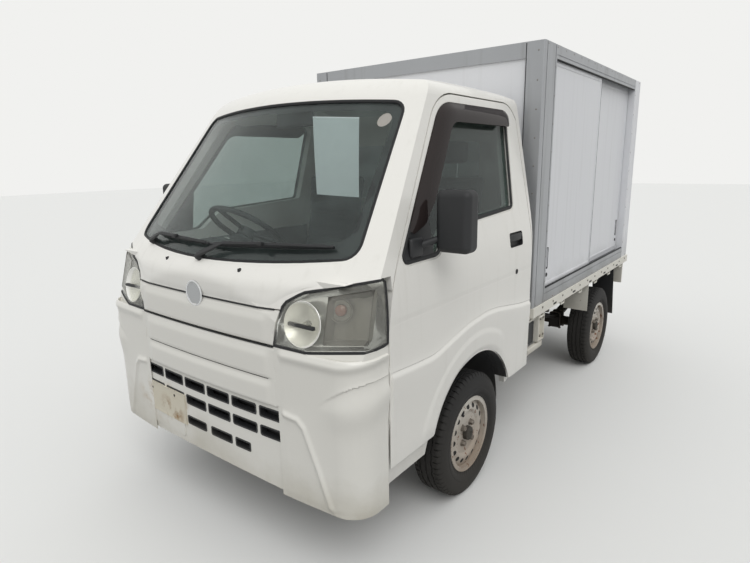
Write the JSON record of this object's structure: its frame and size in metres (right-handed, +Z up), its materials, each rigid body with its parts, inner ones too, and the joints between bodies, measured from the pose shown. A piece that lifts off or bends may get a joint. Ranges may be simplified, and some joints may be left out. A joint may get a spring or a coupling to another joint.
{
  "type": "kei truck with box body",
  "caption": "Small cab-over truck with a two-seat cab, an aluminium box body with sliding side leaves and rear doors, steered front wheels and steel disc wheels.",
  "frame": {"origin": "on the ground at the centre of the truck's box, midway between nose and tail", "axes": "+Z up, -Y forward, +X to the truck's left"},
  "size_m": [1.77, 3.395, 1.963],
  "materials": {
    "frame_paint": "satin",
    "cab_paint": "gloss",
    "bumper_paint": "gloss",
    "engine_block": "cast",
    "axle_iron": "satin",
    "spring_steel": "satin",
    "tyre_rubber": "matte",
    "wheel_steel": "satin",
    "exhaust_steel": "matte",
    "tank_steel": "matte",
    "clear_glass": "polished",
    "lamp_lens": "polished",
    "lamp_dish": "polished",
    "radiator_black": "matte",
    "black_plastic": "matte",
    "dash_plastic": "matte",
    "seat_fabric": "matte",
    "mirror_plastic": "satin",
    "deck_paint": "satin",
    "lamp_red": "gloss",
    "box_aluminium": "satin",
    "box_panel": "satin",
    "box_wood": "matte",
    "hinge_steel": "satin"
  },
  "bodies": {
    "vehicle": {"frame_rails": "frame_paint", "frame_crossmembers": "frame_paint", "cab_mounts": "frame_paint", "engine": "engine_block", "rear_axle": "axle_iron", "leaf_springs": "spring_steel", "front_suspension": "spring_steel", "exhaust": "exhaust_steel", "fuel_tank": "tank_steel", "cab_shell": "cab_paint", "front_garnish": "bumper_paint", "bumper": "bumper_paint", "headlamp_housings": "lamp_dish", "headlamp_lenses": "lamp_lens", "radiator": "radiator_black", "windscreen": "clear_glass", "rear_window": "clear_glass", "dashboard": "dash_plastic", "seats": "seat_fabric", "wipers": "black_plastic", "mudguards": "black_plastic", "deck": "deck_paint", "rope_hooks": "deck_paint", "tail_lamps": "lamp_red", "box_frame": "box_aluminium", "box_rear_frame": "box_panel", "rear_hinges": "hinge_steel", "box_front_wall": "box_panel", "box_roof": "box_panel", "box_floor": "box_wood"},
    "door_left": {"door_left": "cab_paint", "door_glass_left": "clear_glass", "mirror_left": "mirror_plastic"},
    "door_right": {"door_right": "cab_paint", "door_glass_right": "clear_glass", "mirror_right": "mirror_plastic"},
    "side_leaf_front_left": {"side_leaf_front_left": "box_panel"},
    "side_leaf_front_right": {"side_leaf_front_right": "box_panel"},
    "side_leaf_rear_left": {"side_leaf_rear_left": "box_panel"},
    "side_leaf_rear_right": {"side_leaf_rear_right": "box_panel"},
    "rear_door_left": {"rear_door_left": "box_panel"},
    "rear_door_right": {"rear_door_right": "box_panel"},
    "knuckle_left": {"knuckle_left": "axle_iron"},
    "knuckle_right": {"knuckle_right": "axle_iron"},
    "steering_wheel": {"steering_wheel": "black_plastic"},
    "wheel_front_left": {"tyre_front_left": "tyre_rubber", "rim_front_left": "wheel_steel"},
    "wheel_front_right": {"tyre_front_right": "tyre_rubber", "rim_front_right": "wheel_steel"},
    "wheel_rear_left": {"tyre_rear_left": "tyre_rubber", "rim_rear_left": "wheel_steel"},
    "wheel_rear_right": {"tyre_rear_right": "tyre_rubber", "rim_rear_right": "wheel_steel"}
  },
  "joints": [
    {"name": "door_left_hinge", "type": "hinge", "parent": "vehicle", "child": "door_left", "pos_m": [0.7375, -1.491, 0.9], "axis": [0, 0, -1], "range_deg": [0, 65]},
    {"name": "door_right_hinge", "type": "hinge", "parent": "vehicle", "child": "door_right", "pos_m": [-0.7375, -1.491, 0.9], "axis": [0, 0, 1], "range_deg": [0, 65]},
    {"name": "steer_left", "type": "hinge", "parent": "vehicle", "child": "knuckle_left", "pos_m": [0.55649, -0.88, 0.27], "axis": [-0.1462, 0, 0.9893], "range_deg": [-35, 35]},
    {"name": "steer_right", "type": "hinge", "parent": "vehicle", "child": "knuckle_right", "pos_m": [-0.55649, -0.88, 0.27], "axis": [0.1462, 0, 0.9893], "range_deg": [-35, 35]},
    {"name": "steering_wheel_turn", "type": "hinge", "parent": "vehicle", "child": "steering_wheel", "pos_m": [-0.34, -1.1605, 1.12], "axis": [0, 0.6198, 0.7848], "range_deg": [-600, 600]},
    {"name": "wheel_front_left_spin", "type": "hinge", "parent": "knuckle_left", "child": "wheel_front_left", "pos_m": [0.6525, -0.88, 0.27], "axis": [1, 0, 0], "continuous": true},
    {"name": "wheel_front_right_spin", "type": "hinge", "parent": "knuckle_right", "child": "wheel_front_right", "pos_m": [-0.6525, -0.88, 0.27], "axis": [1, 0, 0], "continuous": true},
    {"name": "wheel_rear_left_spin", "type": "hinge", "parent": "vehicle", "child": "wheel_rear_left", "pos_m": [0.6525, 1.02, 0.27], "axis": [1, 0, 0], "continuous": true},
    {"name": "wheel_rear_right_spin", "type": "hinge", "parent": "vehicle", "child": "wheel_rear_right", "pos_m": [-0.6525, 1.02, 0.27], "axis": [1, 0, 0], "continuous": true},
    {"name": "side_leaf_front_left_slide", "type": "slide", "parent": "vehicle", "child": "side_leaf_front_left", "axis": [0, 1, 0], "range_m": [0, 0.782]},
    {"name": "side_leaf_rear_left_slide", "type": "slide", "parent": "vehicle", "child": "side_leaf_rear_left", "axis": [0, -1, 0], "range_m": [0, 0.782]},
    {"name": "side_leaf_front_right_slide", "type": "slide", "parent": "vehicle", "child": "side_leaf_front_right", "axis": [0, 1, 0], "range_m": [0, 0.782]},
    {"name": "side_leaf_rear_right_slide", "type": "slide", "parent": "vehicle", "child": "side_leaf_rear_right", "axis": [0, -1, 0], "range_m": [0, 0.782]},
    {"name": "rear_door_left_hinge", "type": "hinge", "parent": "vehicle", "child": "rear_door_left", "pos_m": [0.627, 1.69, 1.3], "axis": [0, 0, -1], "range_deg": [0, 180]},
    {"name": "rear_door_right_hinge", "type": "hinge", "parent": "vehicle", "child": "rear_door_right", "pos_m": [-0.627, 1.69, 1.3], "axis": [0, 0, 1], "range_deg": [0, 180]}
  ],
  "couplings": [
    {"joint": "steer_right", "follows": "steer_left", "ratio": 1},
    {"joint": "steering_wheel_turn", "follows": "steer_left", "ratio": 17}
  ]
}
